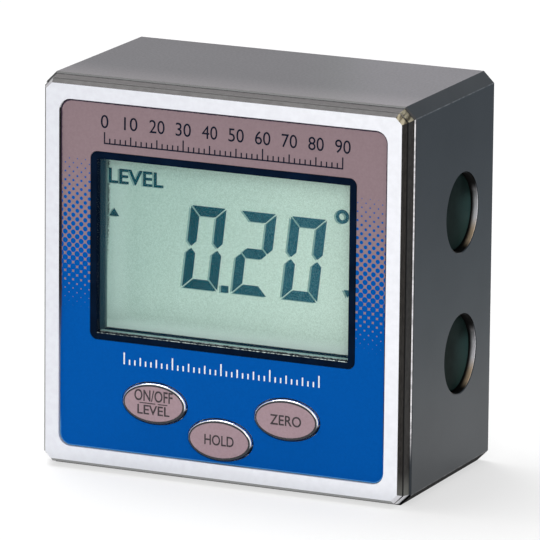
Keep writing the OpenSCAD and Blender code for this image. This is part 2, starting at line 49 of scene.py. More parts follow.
# Boxes and faces of the nodes
LABEL_LO, LABEL_HI = span("front_label")
WINDOW_LO, WINDOW_HI = span("display_window")
BLOCK_LO, BLOCK_HI = span("body_block")
BEZEL_LO, BEZEL_HI = span("front_bezel")
MAGNET_LO, MAGNET_HI = span("right_magnets")
LABEL_FACE = LABEL_LO.y
PANEL_FACE = span("lcd_panel")[0].y
COLLAR_FACE = span("lcd_frame")[0].y
SCREW_FACE = span("cover_screws")[1].y

# Sizes of the CAD model that the boxes don't give
BORDER = 1.05
CHAMFER = 1.7
RIM_BREAK = 0.25
LABEL_R = 1.8

# Places that follow from them: the middle, the window's clear opening and the side magnets
MID_Z = (BLOCK_LO.z + BLOCK_HI.z) / 2
CLEAR_X = WINDOW_HI.x - BORDER
SILL = WINDOW_LO.z + BORDER
LINTEL = WINDOW_HI.z - BORDER
MAGNET_Y = (MAGNET_LO.y + MAGNET_HI.y) / 2
MAGNET_R = (MAGNET_HI.y - MAGNET_LO.y) / 2
MAGNET_OFF = (MAGNET_HI.z - MAGNET_LO.z) / 2 - MAGNET_R

# Thickness of the printed ink
INK = 0.02

# First words of the three keys' node and body names
KEYS = ("mode", "hold", "zero")

# Values of a noise between which a colour goes from its first to its second tone
GRAIN = (0.3, 0.7)


def srgb(r, g, b):
    """A colour written in 0 to 255 screen values, as the linear colour that shaders take."""
    def one(v):
        v /= 255
        return v / 12.92 if v <= 0.04045 else ((v + 0.055) / 1.055) ** 2.4

    return (one(r), one(g), one(b), 1.0)


class Shader:
    """A procedural material with one Principled shader and short ways to add nodes to it."""

    def __init__(self, name, metallic=0.0, roughness=0.5, specular=0.5):
        self.mat = bpy.data.materials.new(name)
        self.mat.use_nodes = True
        self.tree = self.mat.node_tree
        self.bsdf = self.tree.nodes["Principled BSDF"]
        self.out = self.tree.nodes["Material Output"]
        self.bsdf.inputs["Metallic"].default_value = metallic
        self.bsdf.inputs["Roughness"].default_value = roughness
        self.bsdf.inputs["Specular IOR Level"].default_value = specular
        coords = self.node("ShaderNodeTexCoord")
        scale = self.node("ShaderNodeVectorMath", operation="SCALE")
        self.put(scale.inputs[0], coords.outputs["Object"])
        scale.inputs["Scale"].default_value = 1 / MM
        self.place = scale.outputs[0]
        parts = self.node("ShaderNodeSeparateXYZ")
        self.put(parts.inputs[0], self.place)
        self.x, self.y, self.z = parts.outputs

    def node(self, kind, **settings):
        made = self.tree.nodes.new(kind)
        for key, value in settings.items():
            setattr(made, key, value)
        return made

    def put(self, socket, value):
        """Links another node's socket to this one, or sets this one to a plain value."""
        if isinstance(value, bpy.types.NodeSocket):
            self.tree.links.new(value, socket)
        else:
            socket.default_value = value

    def math(self, operation, *values):
        made = self.node("ShaderNodeMath", operation=operation)
        for socket, value in zip(made.inputs, values):
            self.put(socket, value)
        return made.outputs[0]

    def add(self, first, *more):
        for value in more:
            first = self.math("ADD", first, value)
        return first

    def sub(self, a, b):
        return self.math("SUBTRACT", a, b)

    def div(self, a, b):
        return self.math("DIVIDE", a, b)

    def mul(self, first, *more):
        """The product, which for masks is where all of them are."""
        for value in more:
            first = self.math("MULTIPLY", first, value)
        return first

    def larger(self, a, b):
        """The larger value, which for masks is where either is."""
        return self.math("MAXIMUM", a, b)

    def smaller(self, a, b):
        return self.math("MINIMUM", a, b)

    def absolute(self, value):
        return self.math("ABSOLUTE", value)

    def below(self, value, limit):
        return self.math("LESS_THAN", value, limit)

    def above(self, value, limit):
        return self.math("GREATER_THAN", value, limit)

    def hypot(self, a, b):
        return self.math("SQRT", self.add(self.mul(a, a), self.mul(b, b)))

    def ramp(self, value, lo, hi, out_lo=0.0, out_hi=1.0, smooth=True):
        """The value carried from the range lo to hi into the range out_lo to out_hi, and held at its ends."""
        kind = "SMOOTHSTEP" if smooth else "LINEAR"
        made = self.node("ShaderNodeMapRange", interpolation_type=kind)
        for socket, v in zip(made.inputs, (value, lo, hi, out_lo, out_hi)):
            self.put(socket, v)
        return made.outputs[0]

    def mix(self, factor, a, b):
        made = self.node("ShaderNodeMix", data_type="RGBA")
        self.put(made.inputs["Factor"], factor)
        self.put(made.inputs["A"], a)
        self.put(made.inputs["B"], b)
        return made.outputs["Result"]

    def noise(self, size, stretch=(1, 1, 1), detail=3.0):
        """Noise whose grains are about size millimetres, longer along an axis with a larger stretch."""
        grow = self.node("ShaderNodeVectorMath", operation="MULTIPLY")
        self.put(grow.inputs[0], self.place)
        grow.inputs[1].default_value = [1 / (size * s) for s in stretch]
        made = self.node("ShaderNodeTexNoise")
        made.inputs["Scale"].default_value = 1.0
        made.inputs["Detail"].default_value = detail
        self.put(made.inputs["Vector"], grow.outputs[0])
        return made.outputs[0]

    def mottled(self, noise, dark, light):
        """A colour that wanders between two tones with a noise."""
        return self.mix(self.ramp(noise, *GRAIN), dark, light)

    def normal(self):
        """The surface normal's three parts, in the part's frame."""
        geometry = self.node("ShaderNodeNewGeometry")
        parts = self.node("ShaderNodeSeparateXYZ")
        self.put(parts.inputs[0], geometry.outputs["Normal"])
        return parts.outputs

    def mix_shaders(self, factor, a, b):
        made = self.node("ShaderNodeMixShader")
        for socket, value in zip(made.inputs, (factor, a, b)):
            self.put(socket, value)
        return made.outputs[0]

    def bump(self, height, depth):
        """Relief of depth millimetres between the height's 0 and 1."""
        made = self.node("ShaderNodeBump")
        made.inputs["Strength"].default_value = 1.0
        made.inputs["Distance"].default_value = depth * MM
        self.put(made.inputs["Height"], height)
        self.put(self.bsdf.inputs["Normal"], made.outputs[0])

    def colour(self, value):
        self.put(self.bsdf.inputs["Base Color"], value)

    def rough(self, value):
        self.put(self.bsdf.inputs["Roughness"], value)

    def metal(self, value):
        self.put(self.bsdf.inputs["Metallic"], value)

    def surface(self, value):
        self.put(self.out.inputs["Surface"], value)


def grained(name, dark, light, size=0.5, stretch=(1, 1, 1), relief=0.0, **kind):
    """Material whose colour wanders between two tones in grains of one size, with a fine relief."""
    s = Shader(name, **kind)
    grain = s.noise(size, stretch)
    s.colour(s.mottled(grain, dark, light))
    if relief:
        s.bump(grain, relief)
    return s.mat


def outside_box(s, half_x, lo_z, hi_z, soft):
    """1 outside a rectangle on the front, 0 inside."""
    dx = s.sub(s.absolute(s.x), half_x)
    dz = s.sub(s.absolute(s.sub(s.z, (lo_z + hi_z) / 2)), (hi_z - lo_z) / 2)
    return s.ramp(s.larger(dx, dz), -soft, soft)


def above_magnet(s):
    """Height above the middle of the nearer side magnet."""
    up = s.sub(s.z, MID_Z)
    return s.sub(up, s.mul(s.math("SIGN", up), MAGNET_OFF))


def pocket_walls(s):
    """1 on the walls of the magnet pockets, in both sides and in the base."""
    reach = MAGNET_R + 0.07
    side_from, base_to = 22.0, 8.0
    off_y = s.sub(s.y, MAGNET_Y)

    def near(across):
        off = s.sub(s.absolute(across), MAGNET_OFF)
        return s.below(s.hypot(off_y, off), reach)

    side = s.mul(near(s.sub(s.z, MID_Z)), s.above(s.absolute(s.x), side_from))
    base = s.mul(near(s.x), s.below(s.z, base_to))
    return s.larger(side, base)


def pocket_highlight_and_shade(s):
    """Turned metal with a painted highlight that is warm low down, and painted shade at the top, at the foot
    and deep inside.
    """
    up = above_magnet(s)
    warm_to_pale, pale_to_dark, warm_to_dark = (-4.0, -1.5), (0.4, 3.6), (-4.8, -5.8)
    deep_to_mouth = (28.95, 29.6)
    # Painted highlight on the pocket wall, with painted shade at its top, its foot and deep inside
    tone = s.mix(s.ramp(up, *warm_to_pale), srgb(224, 198, 168), srgb(240, 238, 242))
    tone = s.mix(s.ramp(up, *pale_to_dark), tone, srgb(40, 40, 40))
    tone = s.mix(s.ramp(up, *warm_to_dark), tone, srgb(24, 24, 24))
    return s.mix(s.ramp(s.absolute(s.x), *deep_to_mouth), srgb(30, 30, 30), tone)


def worn_and_highlit_edges(s):
    """Patchy wear and a painted highlight along the edges where the sides meet the long chamfers."""
    line = (0.1, 0.05)
    patches = s.ramp(s.noise(1.5), 0.35, 0.65, 0.1, 0.7)
    off_x = s.sub(s.absolute(s.x), BLOCK_HI.x)
    off_z = s.sub(s.absolute(s.sub(s.z, MID_Z)), MID_Z - CHAMFER)
    edge = s.larger(s.absolute(off_x), s.absolute(off_z))
    return s.mul(s.ramp(edge, *line), patches)


def block_metal():
    """Dark coat over fine grinding, with painted light: paler towards the front of the top, lighter on the
    upper front rim, and painted shade on the lower chamfers; bare metal with a painted highlight along the
    side rims.
    """
    s = Shader("block_metal", metallic=1.0)
    s.bsdf.inputs["Specular Tint"].default_value = (0.96, 0.96, 0.96, 1.0)
    ground = s.noise(0.05, (8, 8, 1))
    nx, ny, nz = s.normal()
    coat = s.mottled(s.noise(9.0), srgb(52, 56, 60), srgb(57, 61, 65))

    # Painted light: the top is paler towards the front
    pale_from, pale_to = -4.0, -15.0
    painted_top_light = s.mul(s.ramp(nz, 0.8, 0.95), s.ramp(s.y, pale_from, pale_to, 0.0, 0.8))
    coat = s.mix(painted_top_light, coat, srgb(108, 106, 108))

    rim_depth = RIM_BREAK + 0.01
    front_rim = s.mul(s.below(s.y, BLOCK_LO.y + rim_depth), s.ramp(s.mul(ny, -1.0), 0.5, 0.6))
    # Painted light: the upward-facing front rim is lightened to lift the shade at the joint with the bezel
    coat = s.mix(s.mul(front_rim, s.ramp(nz, 0.2, 0.4)), coat, srgb(68, 68, 68))
    # Painted shade: the chamfers underneath are near black
    shaded_under_chamfer = s.mul(s.ramp(nz, -0.3, -0.5), s.ramp(nz, -0.95, -0.9))
    coat = s.mix(shaded_under_chamfer, coat, srgb(6, 6, 6))
    # Paler metal along the side edges: partly wear, partly a painted highlight
    coat = s.mix(worn_and_highlit_edges(s), coat, srgb(140, 140, 142))

    pocket = pocket_walls(s)
    # The pocket walls take their painted highlight and shade
    tone = s.mix(pocket, coat, pocket_highlight_and_shade(s))

    # Bare metal along the side rims, with a painted highlight that fades out lower down
    line_depth = 0.15
    line_from, line_full = 6.0, 13.0
    bare_rim_highlight = s.mul(
        front_rim,
        s.ramp(s.absolute(nx), 0.55, 0.65),
        s.below(s.y, BLOCK_LO.y + line_depth),
        s.ramp(s.z, line_from, line_full),
        s.ramp(s.noise(0.7), 0.35, 0.6, 0.6, 1.0),
    )
    bare = s.mottled(ground, srgb(222, 218, 220), srgb(252, 250, 252))
    s.colour(s.mix(bare_rim_highlight, tone, bare))

    dull_pocket, dull_under = 0.2, 0.5
    satin = s.ramp(ground, 0.25, 0.75, 0.29, 0.34)
    s.rough(s.add(satin, s.mul(pocket, dull_pocket), s.mul(shaded_under_chamfer, dull_under)))
    s.bump(ground, 0.0001)
    return s.mat


def bezel_face_tone_and_painted_light(s, cloud):
    """Satin metal, with painted light that makes it brighter to the right, and painted shade a little darker
    along the lower rim.
    """
    # Painted light: the face is brighter to the right
    side = s.ramp(s.x, BEZEL_LO.x, BEZEL_HI.x)
    light = s.mix(side, srgb(229, 231, 237), srgb(241, 242, 247))
    shade = s.mix(side, srgb(224, 225, 232), srgb(236, 237, 242))
    # Painted shade along the lower rim
    rim_top, rim_foot = LABEL_LO.z - 0.1, 1.2
    lower_rim_shade = s.ramp(s.z, rim_top, rim_foot, 0.0, 0.4)
    return s.mix(lower_rim_shade, s.mottled(cloud, shade, light), srgb(203, 206, 210))


def bezel_wall_tone_and_painted_light(s, nx, ny, nz):
    """Dark lined walls, with painted light by how they face: lighter on top, underneath and near the foot of
    the sides, and painted shade on the upper bevel.
    """
    lines = s.noise(0.1, (1, 8, 8))
    tone = s.mottled(lines, srgb(44, 42, 41), srgb(56, 54, 52))
    # Painted light by facing: lighter on top and underneath, painted shade on the upper bevel, lighter at the
    # foot of the sides
    tone = s.mix(s.ramp(nz, 0.3, 0.8), tone, srgb(84, 82, 82))
    tone = s.mix(s.ramp(nz, -0.3, -0.6), tone, srgb(150, 152, 152))
    shaded_upper_bevel = s.mul(s.ramp(nz, 0.3, 0.5), s.ramp(ny, -0.3, -0.5))
    tone = s.mix(shaded_upper_bevel, tone, srgb(54, 53, 53))
    foot_from, foot_full = 6.0, 2.0
    lit_side_foot = s.mul(s.ramp(s.z, foot_from, foot_full), s.ramp(s.absolute(nx), 0.7, 0.9))
    return s.mix(lit_side_foot, tone, srgb(108, 108, 104))


def bezel_cut_streaks_and_highlight(s, nx, nz):
    """Bare cut corners: streaked and brassy at the upper right, with a painted highlight that makes them pale
    at the left and lower down.
    """
    streaks = s.ramp(s.noise(0.3, (1, 9, 9)), 0.4, 0.6)
    tone = s.mix(streaks, srgb(84, 77, 63), srgb(178, 168, 144))
    # Painted highlight on the corners facing left and down
    tone = s.mix(s.ramp(nx, 0.1, -0.1), tone, srgb(176, 176, 178))
    return s.mix(s.ramp(nz, 0.1, -0.1), tone, srgb(226, 226, 230))


def bezel_metal():
    """Satin face, dark stepped walls outside it with painted light, and dull walls in the label's recess,
    with painted light on those facing up and on the left wall low down.
    """
    s = Shader("bezel_metal", metallic=1.0)
    cloud = s.noise(0.9, detail=4.0)
    nx, ny, nz = s.normal()
    across = s.absolute(s.x)
    face_depth = 0.1
    front = s.ramp(s.mul(ny, -1.0), 0.85, 0.95)
    face = s.mul(front, s.below(s.y, BEZEL_LO.y + face_depth))

    cut = s.ramp(s.mul(s.absolute(nx), s.absolute(nz)), 0.15, 0.25)
    tone = s.mix(cut, bezel_wall_tone_and_painted_light(s, nx, ny, nz), bezel_cut_streaks_and_highlight(s, nx, nz))

    past_label = 0.4
    recess = s.mul(
        s.below(across, LABEL_HI.x + past_label),
        s.below(s.absolute(s.sub(s.z, MID_Z)), LABEL_HI.z - MID_Z + past_label),
    )
    # Painted light: recess walls facing up, and the left wall low down, are pale
    pale_from, pale_full = 30.0, 14.0
    left_wall = s.mul(s.ramp(nx, 0.4, 0.6), s.ramp(s.z, pale_from, pale_full))
    lit_recess_wall = s.larger(s.ramp(nz, 0.4, 0.6), left_wall)
    tone = s.mix(s.mul(recess, lit_recess_wall), tone, srgb(205, 206, 212))

    outside = s.sub(1.0, recess)
    # Painted light: the front ledge is lighter along the top and bottom than on the sides
    ledge_top_to_side = (28.5, 28.9)
    lit_ledge_tone = s.mix(s.ramp(across, *ledge_top_to_side), srgb(142, 141, 141), srgb(58, 58, 59))
    tone = s.mix(s.mul(front, outside), tone, lit_ledge_tone)

    s.colour(s.mix(face, tone, bezel_face_tone_and_painted_light(s, cloud)))
    s.metal(s.larger(face, outside))
    s.rough(s.ramp(cloud, *GRAIN, 0.4, 0.46))
    s.bump(cloud, 0.0004)
    return s.mat


def halftone(s):
    """1 on the dots of a staggered grid, which grow down the label until they run together."""
    pitch = 1.32
    tilt = 0.037
    soft = 0.02
    smallest = 0.003
    # A dot's squared radius in pitches: where each stage of growth starts and ends, and what it adds
    stages = ((48.0, 27.0, 0.0714), (44.2, 27.0, 0.0908), (28.0, 22.5, 0.11))

    def from_centre(shift):
        cells = [s.math("FRACT", s.add(s.div(along, pitch), shift)) for along in (s.x, s.z)]
        return s.hypot(*(s.sub(cell, 0.5) for cell in cells))

    level = s.add(s.z, s.mul(s.x, tilt))
    size = s.add(*(s.ramp(level, start, end, 0.0, gain, smooth=False) for start, end, gain in stages))
    away = s.smaller(from_centre(0.5), from_centre(0.0))
    dots = s.ramp(s.sub(s.math("SQRT", size), away), -soft, soft)
    return s.mul(dots, s.above(size, smallest))


def label_print():
    """Film printed mauve above and blue below, with a ragged dark edge that is partly print and partly
    painted shade, and a painted sheen along its foot.
    """
    s = Shader("label_print", roughness=0.45, specular=0.02)
    grain = s.noise(0.35)
    mauve = s.mottled(grain, srgb(140, 120, 125), srgb(144, 124, 129))
    blue = s.mottled(grain, srgb(0, 82, 163), srgb(0, 85, 168))
    tone = s.mix(halftone(s), mauve, blue)

    half_w = (LABEL_HI.x - LABEL_LO.x) / 2
    half_h = (LABEL_HI.z - LABEL_LO.z) / 2
    dx = s.larger(s.sub(s.absolute(s.x), half_w - LABEL_R), 0.0)
    dz = s.larger(s.sub(s.absolute(s.sub(s.z, MID_Z)), half_h - LABEL_R), 0.0)
    reach = s.hypot(dx, dz)

    # The ragged dark edge, partly print and partly painted shade of the recess, starts higher up at the left
    # than at the right
    dark_rim = (LABEL_R - 0.16, LABEL_R - 0.08)
    dark_from, dark_full = 4.0, 14.0
    right, left, left_rise = 5.0, -5.0, 14.0
    ragged = s.add(reach, s.mul(s.noise(0.5), 0.2))
    height = s.sub(s.z, s.ramp(s.x, right, left, 0.0, left_rise))
    ragged_edge_and_shade = s.mul(s.ramp(ragged, *dark_rim), s.ramp(height, dark_from, dark_full))
    tone = s.mix(ragged_edge_and_shade, tone, srgb(58, 48, 62))

    # Painted sheen: a light blue highlight along the label's lower edge
    sheen_rim = (LABEL_R - 0.2, LABEL_R - 0.1)
    sheen_from, sheen_full = 9.0, 6.0
    painted_sheen = s.mul(s.ramp(reach, *sheen_rim), s.ramp(s.z, sheen_from, sheen_full, 0.0, 0.7))
    s.colour(s.mix(painted_sheen, tone, srgb(90, 160, 215)))
    s.bump(grain, 0.002)
    return s.mat


def window_clear():
    """Clear pane with a faint gloss, and a dark printed border with painted glints along its sill."""
    s = Shader("window_clear", roughness=0.12, specular=0.03)
    navy = s.mottled(s.noise(2.5), srgb(0, 14, 34), srgb(2, 20, 42))
    # Painted glint along the sill, brighter to the right
    glint_foot, glint_full, glint_top = SILL - 0.14, SILL - 0.08, SILL + 0.1
    end_gap = 0.1
    dim_x, bright_x = -20.0, 2.0
    painted_glint = s.mul(
        s.ramp(s.z, glint_foot, glint_full),
        s.below(s.z, glint_top),
        s.below(s.absolute(s.x), CLEAR_X - end_gap),
        s.ramp(s.noise(0.17, (2, 1, 1), 4.0), 0.4, 0.62, 0.1, 1.0),
        s.ramp(s.x, dim_x, bright_x, 0.45, 0.95),
    )
    s.colour(s.mix(painted_glint, navy, srgb(222, 236, 230)))
    clear = s.node("ShaderNodeBsdfTransparent")
    clear.inputs["Color"].default_value = (0.97, 0.99, 0.98, 1.0)
    gloss = s.node("ShaderNodeBsdfGlossy")
    gloss.inputs["Roughness"].default_value = 0.05
    gloss_share = 0.007
    pane = s.mix_shaders(gloss_share, clear.outputs[0], gloss.outputs[0])
    border = outside_box(s, CLEAR_X, SILL, LINTEL, soft=0.02)
    s.surface(s.mix_shaders(border, pane, s.bsdf.outputs[0]))
    return s.mat


def display_glass():
    """Grey-green glass, with painted light: lighter to the lower right and near its left and lower edges, and
    a fuzzy rim of painted shade.
    """
    s = Shader("display_glass", roughness=0.35, specular=0.2)
    grain = s.noise(0.18, detail=5.0)
    # Painted light: lighter to the lower right
    fall, wander = 0.5, 12.0
    across = s.add(s.sub(s.x, s.mul(s.z, fall)), s.mul(s.noise(14.0), wander))
    dim_end, light_end = -40.0, 18.0
    side = s.ramp(across, dim_end, light_end)
    light = s.mix(side, srgb(174, 200, 193), srgb(217, 236, 227))
    dark = s.mix(side, srgb(154, 182, 174), srgb(194, 215, 204))
    tone = s.mottled(grain, light, dark)

    # Painted light near the sill and the left edge, lifting their shade
    sill_fade, left_fade = (2.4, 0.0), (5.0, 0.8)
    from_left = s.add(s.x, CLEAR_X)
    from_sill = s.sub(s.z, SILL)
    painted_light_margin = s.larger(s.ramp(from_sill, *sill_fade), s.ramp(from_left, *left_fade, 0.0, 0.35))
    pale = s.mix(side, srgb(223, 247, 241), srgb(240, 255, 250))
    tone = s.mix(painted_light_margin, tone, pale)

    # Painted shade: a fuzzy dark rim along the left and lower edges, wider higher up
    fuzz = s.mul(s.sub(grain, 0.5), 0.9)
    narrow_z, wide_z = 28.0, 40.0
    widened = s.ramp(s.z, narrow_z, wide_z, 0.1, -0.3)
    shaded_rim = s.add(s.smaller(from_left, from_sill), fuzz, widened)
    s.colour(s.mix(s.ramp(shaded_rim, 0.2, -0.25), tone, srgb(52, 76, 80)))
    return s.mat


def frame_black():
    """Black plastic, with the display's light painted on its left wall and sill, paler near the panel on the
    wall and near the front on the sill.
    """
    s = Shader("black_plastic", roughness=0.6, specular=0.0)
    grain = s.noise(0.2, detail=5.0)
    tone = s.mottled(grain, srgb(8, 11, 20), srgb(18, 21, 32))
    nx, _, nz = s.normal()
    depth = s.ramp(s.y, COLLAR_FACE, PANEL_FACE, smooth=False)
    fuzzy_depth = s.add(depth, s.mul(s.sub(grain, 0.5), 0.5))
    left_wall = s.ramp(nx, 0.4, 0.6)
    sill_wall = s.ramp(nz, 0.4, 0.6)
    # Painted light: the left wall and sill take the display's tint, paler near the panel and near the front
    tone = s.mix(left_wall, tone, srgb(40, 68, 84))
    tone = s.mix(sill_wall, tone, srgb(12, 42, 60))
    tone = s.mix(s.mul(left_wall, s.ramp(fuzzy_depth, 0.6, 1.05)), tone, srgb(124, 152, 150))
    tone = s.mix(s.mul(sill_wall, s.ramp(fuzzy_depth, 0.45, 0.2)), tone, srgb(164, 192, 194))
    s.colour(tone)
    s.bump(grain, 0.01)
    return s.mat


def key_plastic(node):
    """Satin top with a dark printed line around it, and a bright metal edge with painted shade on its
    underside.
    """
    lo, hi = span(node)
    s = Shader(node + "_plastic")
    grain = s.noise(0.3)
    top = s.mottled(grain, srgb(156, 130, 137), srgb(163, 137, 144))
    line = s.mottled(grain, srgb(20, 24, 30), srgb(30, 34, 40))
    edge = s.mottled(grain, srgb(226, 228, 232), srgb(242, 244, 248))

    # Distance in from an oval that lies lip inside the key's outline
    lip = 0.5
    half_w = (hi.x - lo.x) / 2 - lip
    half_h = (hi.z - lo.z) / 2 - lip
    u = s.div(s.sub(s.x, (lo.x + hi.x) / 2), half_w)
    w = s.div(s.sub(s.z, (lo.z + hi.z) / 2), half_h)
    away = s.hypot(u, w)
    steepness = s.hypot(s.div(u, half_w), s.div(w, half_h))
    inset = s.div(s.mul(s.sub(1.0, away), away), steepness)

    top_to_line, line_to_edge = (0.54, 0.47), (0.25, 0.2)
    _, _, nz = s.normal()
    printed = s.ramp(inset, *top_to_line)
    # Painted shade: the edge's underside takes the dark line's colour instead of the bright metal
    bright_edge_shaded_under = s.mul(s.ramp(inset, *line_to_edge), s.ramp(nz, -0.3, 0.0))
    s.colour(s.mix(bright_edge_shaded_under, s.mix(printed, top, line), edge))
    s.metal(bright_edge_shaded_under)
    s.rough(s.ramp(printed, 0.0, 1.0, 0.4, 0.14))
    return s.mat


def magnet_plate():
    """Dark plated steel with a soft painted sheen low down and to the back."""
    s = Shader("magnet_plate", specular=0.02)
    tone = s.mottled(s.noise(2.5), srgb(8, 20, 18), srgb(18, 31, 29))
    # Painted sheen low down and towards the back
    back_from, back_full = MAGNET_Y - 1.5, MAGNET_Y + 5.0
    low_from, low_full = 3.0, 0.5
    back = s.ramp(s.y, back_from, back_full)
    low = s.ramp(above_magnet(s), low_from, low_full)
    s.colour(s.mix(s.mul(back, low), tone, srgb(34, 56, 54)))
    return s.mat


def cover_screw_steel():
    """Turned steel, with painted shade in the cross below the head's face."""
    s = Shader("cover_screw_steel", metallic=1.0, roughness=0.34)
    turned = s.mottled(s.noise(0.15), srgb(138, 138, 138), srgb(168, 168, 166))
    # Painted shade in the recessed cross
    face_depth = 0.05
    sunk_shade = s.below(s.y, SCREW_FACE - face_depth)
    s.colour(s.mix(sunk_shade, turned, srgb(34, 34, 35)))
    return s.mat


def inner_looks():
    """Materials of the nodes that lie inside, apart from the display's."""
    steel = dict(metallic=1.0, roughness=0.32)
    brass = dict(metallic=1.0, roughness=0.3)
    looks = {
        "zebra_strips": grained(
            "strip_rubber", srgb(190, 120, 140), srgb(60, 40, 46), 0.05, (40, 40, 1), roughness=0.7),
        "circuit_board": grained("board_laminate", srgb(14, 70, 38), srgb(24, 92, 52), 0.8, roughness=0.4),
        "controller_dome": grained("potting_resin", srgb(10, 10, 11), srgb(22, 22, 23), 1.5, roughness=0.2),
        "tilt_sensor": grained(
            "chip_package", srgb(40, 40, 42), srgb(54, 54, 56), 0.1, relief=0.005, roughness=0.6),
        "clock_crystal": grained(
            "plated_metal", srgb(196, 196, 194), srgb(222, 222, 220), 0.4, (1, 1, 6), **steel),
        "board_capacitors": grained(
            "chip_ceramic", srgb(150, 128, 98), srgb(176, 152, 120), 0.3, roughness=0.6),
        "key_switches": grained("switch_plastic", srgb(34, 34, 36), srgb(46, 46, 48), 0.2, roughness=0.5),
        "cap_seal": grained("seal_rubber", srgb(16, 16, 17), srgb(28, 28, 29), 0.3, roughness=0.8),
        "coin_cell": grained("cell_steel", srgb(186, 186, 184), srgb(214, 214, 212), 0.2, (6, 6, 1), **steel),
        "battery_leads": grained("lead_sleeve", srgb(130, 24, 22), srgb(156, 34, 30), 0.4, roughness=0.45),
    }
    screws = grained("screw_steel", srgb(150, 150, 150), srgb(186, 186, 184), 0.15, **steel)
    for name in ("bezel_screws", "board_screws"):
        looks[name] = screws
    contacts = grained("contact_brass", srgb(190, 160, 92), srgb(222, 196, 128), 0.3, (4, 1, 1), **brass)
    for name in ("positive_contact", "negative_contact"):
        looks[name] = contacts
    plungers = grained("plunger_plastic", srgb(92, 56, 36), srgb(112, 70, 46), 0.2, roughness=0.5)
    for key in KEYS:
        looks[key + "_plunger"] = plungers
    return looks


def outer_looks():
    """Materials of the nodes that show from outside, the display's among them."""
    looks = {
        "body_block": block_metal(),
        "front_bezel": bezel_metal(),
        "front_label": label_print(),
        "display_window": window_clear(),
        "lcd_panel": display_glass(),
        "lcd_frame": frame_black(),
        "cover_screws": cover_screw_steel(),
    }
    plastic = grained("cover_plastic", srgb(38, 38, 40), srgb(48, 48, 50), 0.25, relief=0.02, roughness=0.55)
    for name in ("back_cover", "battery_cap"):
        looks[name] = plastic
    for key in KEYS:
        looks[key + "_key"] = key_plastic(key + "_key")
    magnets = magnet_plate()
    for name in ("right_magnets", "left_magnets", "base_magnets"):
        looks[name] = magnets
    return looks


def smooth_shallow(mesh, angle=35.0):
    """Rounds the shading over edges shallower than an angle. The corners stay where they are."""
    limit = math.cos(math.radians(angle))
    spots = [tuple(round(c, 7) for c in v.co) for v in mesh.vertices]
    around = {}
    for face in mesh.polygons:
        for v in face.vertices:
            around.setdefault(spots[v], []).append(face)
    normals = [None] * len(mesh.loops)
    for face in mesh.polygons:
        for loop in face.loop_indices:
            total = Vector((0.0, 0.0, 0.0))
            for other in around[spots[mesh.loops[loop].vertex_index]]:
                if other.normal.dot(face.normal) > limit:
                    total += other.normal * other.area
            normals[loop] = total.normalized() if total.length > 0 else face.normal
    mesh.normals_split_custom_set(normals)


def dress_nodes():
    """Gives every CAD node its material, and the keys their rounded shading."""
    for name, look in (outer_looks() | inner_looks()).items():
        NODES[name].data.materials.clear()
        NODES[name].data.materials.append(look)
    for key in KEYS:
        smooth_shallow(NODES[key + "_key"].data)


def wound(points):
    """The outline in the order that turns its face out of the front."""
    turns = zip(points, points[1:] + points[:1])
    area = sum(x0 * z1 - x1 * z0 for (x0, z0), (x1, z1) in turns)
    return points if area > 0 else points[::-1]


def ring_mesh(first, x, z, outer, inner, front, back, steps=28):
    """Corners and faces of a flat ring, its corners numbered from first."""
    turns = [2 * math.pi * i / steps for i in range(steps)]
    verts = []
    for y in (front, back):
        for r in (outer, inner):
            verts += [((x + r * math.cos(a)) * MM, y * MM, (z + r * math.sin(a)) * MM) for a in turns]
    outer_front, inner_front, outer_back, inner_back = (first + k * steps for k in range(4))
    faces = []
    for i in range(steps):
        j = (i + 1) % steps
        faces.append([outer_front + i, outer_front + j, inner_front + j, inner_front + i])
        faces.append([outer_back + j, outer_back + i, inner_back + i, inner_back + j])
        faces.append([outer_front + j, outer_front + i, outer_back + i, outer_back + j])
        faces.append([inner_front + i, inner_front + j, inner_back + j, inner_back + i])
    return verts, faces


def place(name, mesh, mat, body):
    """A printed piece in the scene, riding on a body."""
    mesh.materials.append(mat)
    made = bpy.data.objects.new(name, mesh)
    bpy.context.scene.collection.objects.link(made)
    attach(made, body)


def piece(name, outlines, y, thick, mat, body, rings=()):
    """One mesh of flat ink: outlines as seen from the front in millimetres, raised off the plane y."""
    verts, faces = [], []
    for ring in rings:
        more_verts, more_faces = ring_mesh(len(verts), *ring, y - thick, y)
        verts += more_verts
        faces += more_faces
    for points in map(wound, outlines):
        n = len(points)
        front = [len(verts) + i for i in range(n)]
        back = [i + n for i in front]
        verts += [(x * MM, (y - thick) * MM, z * MM) for x, z in points]
        verts += [(x * MM, y * MM, z * MM) for x, z in points]
        faces.append(front)
        faces.append(back[::-1])
        faces += [[front[i - 1], back[i - 1], back[i], front[i]] for i in range(n)]
    mesh = bpy.data.meshes.new(name)
    mesh.from_pydata(verts, [], faces)
    mesh.update()
    place(name, mesh, mat, body)


def bar(x0, z0, x1, z1):
    return [(x0, z0), (x1, z0), (x1, z1), (x0, z1)]


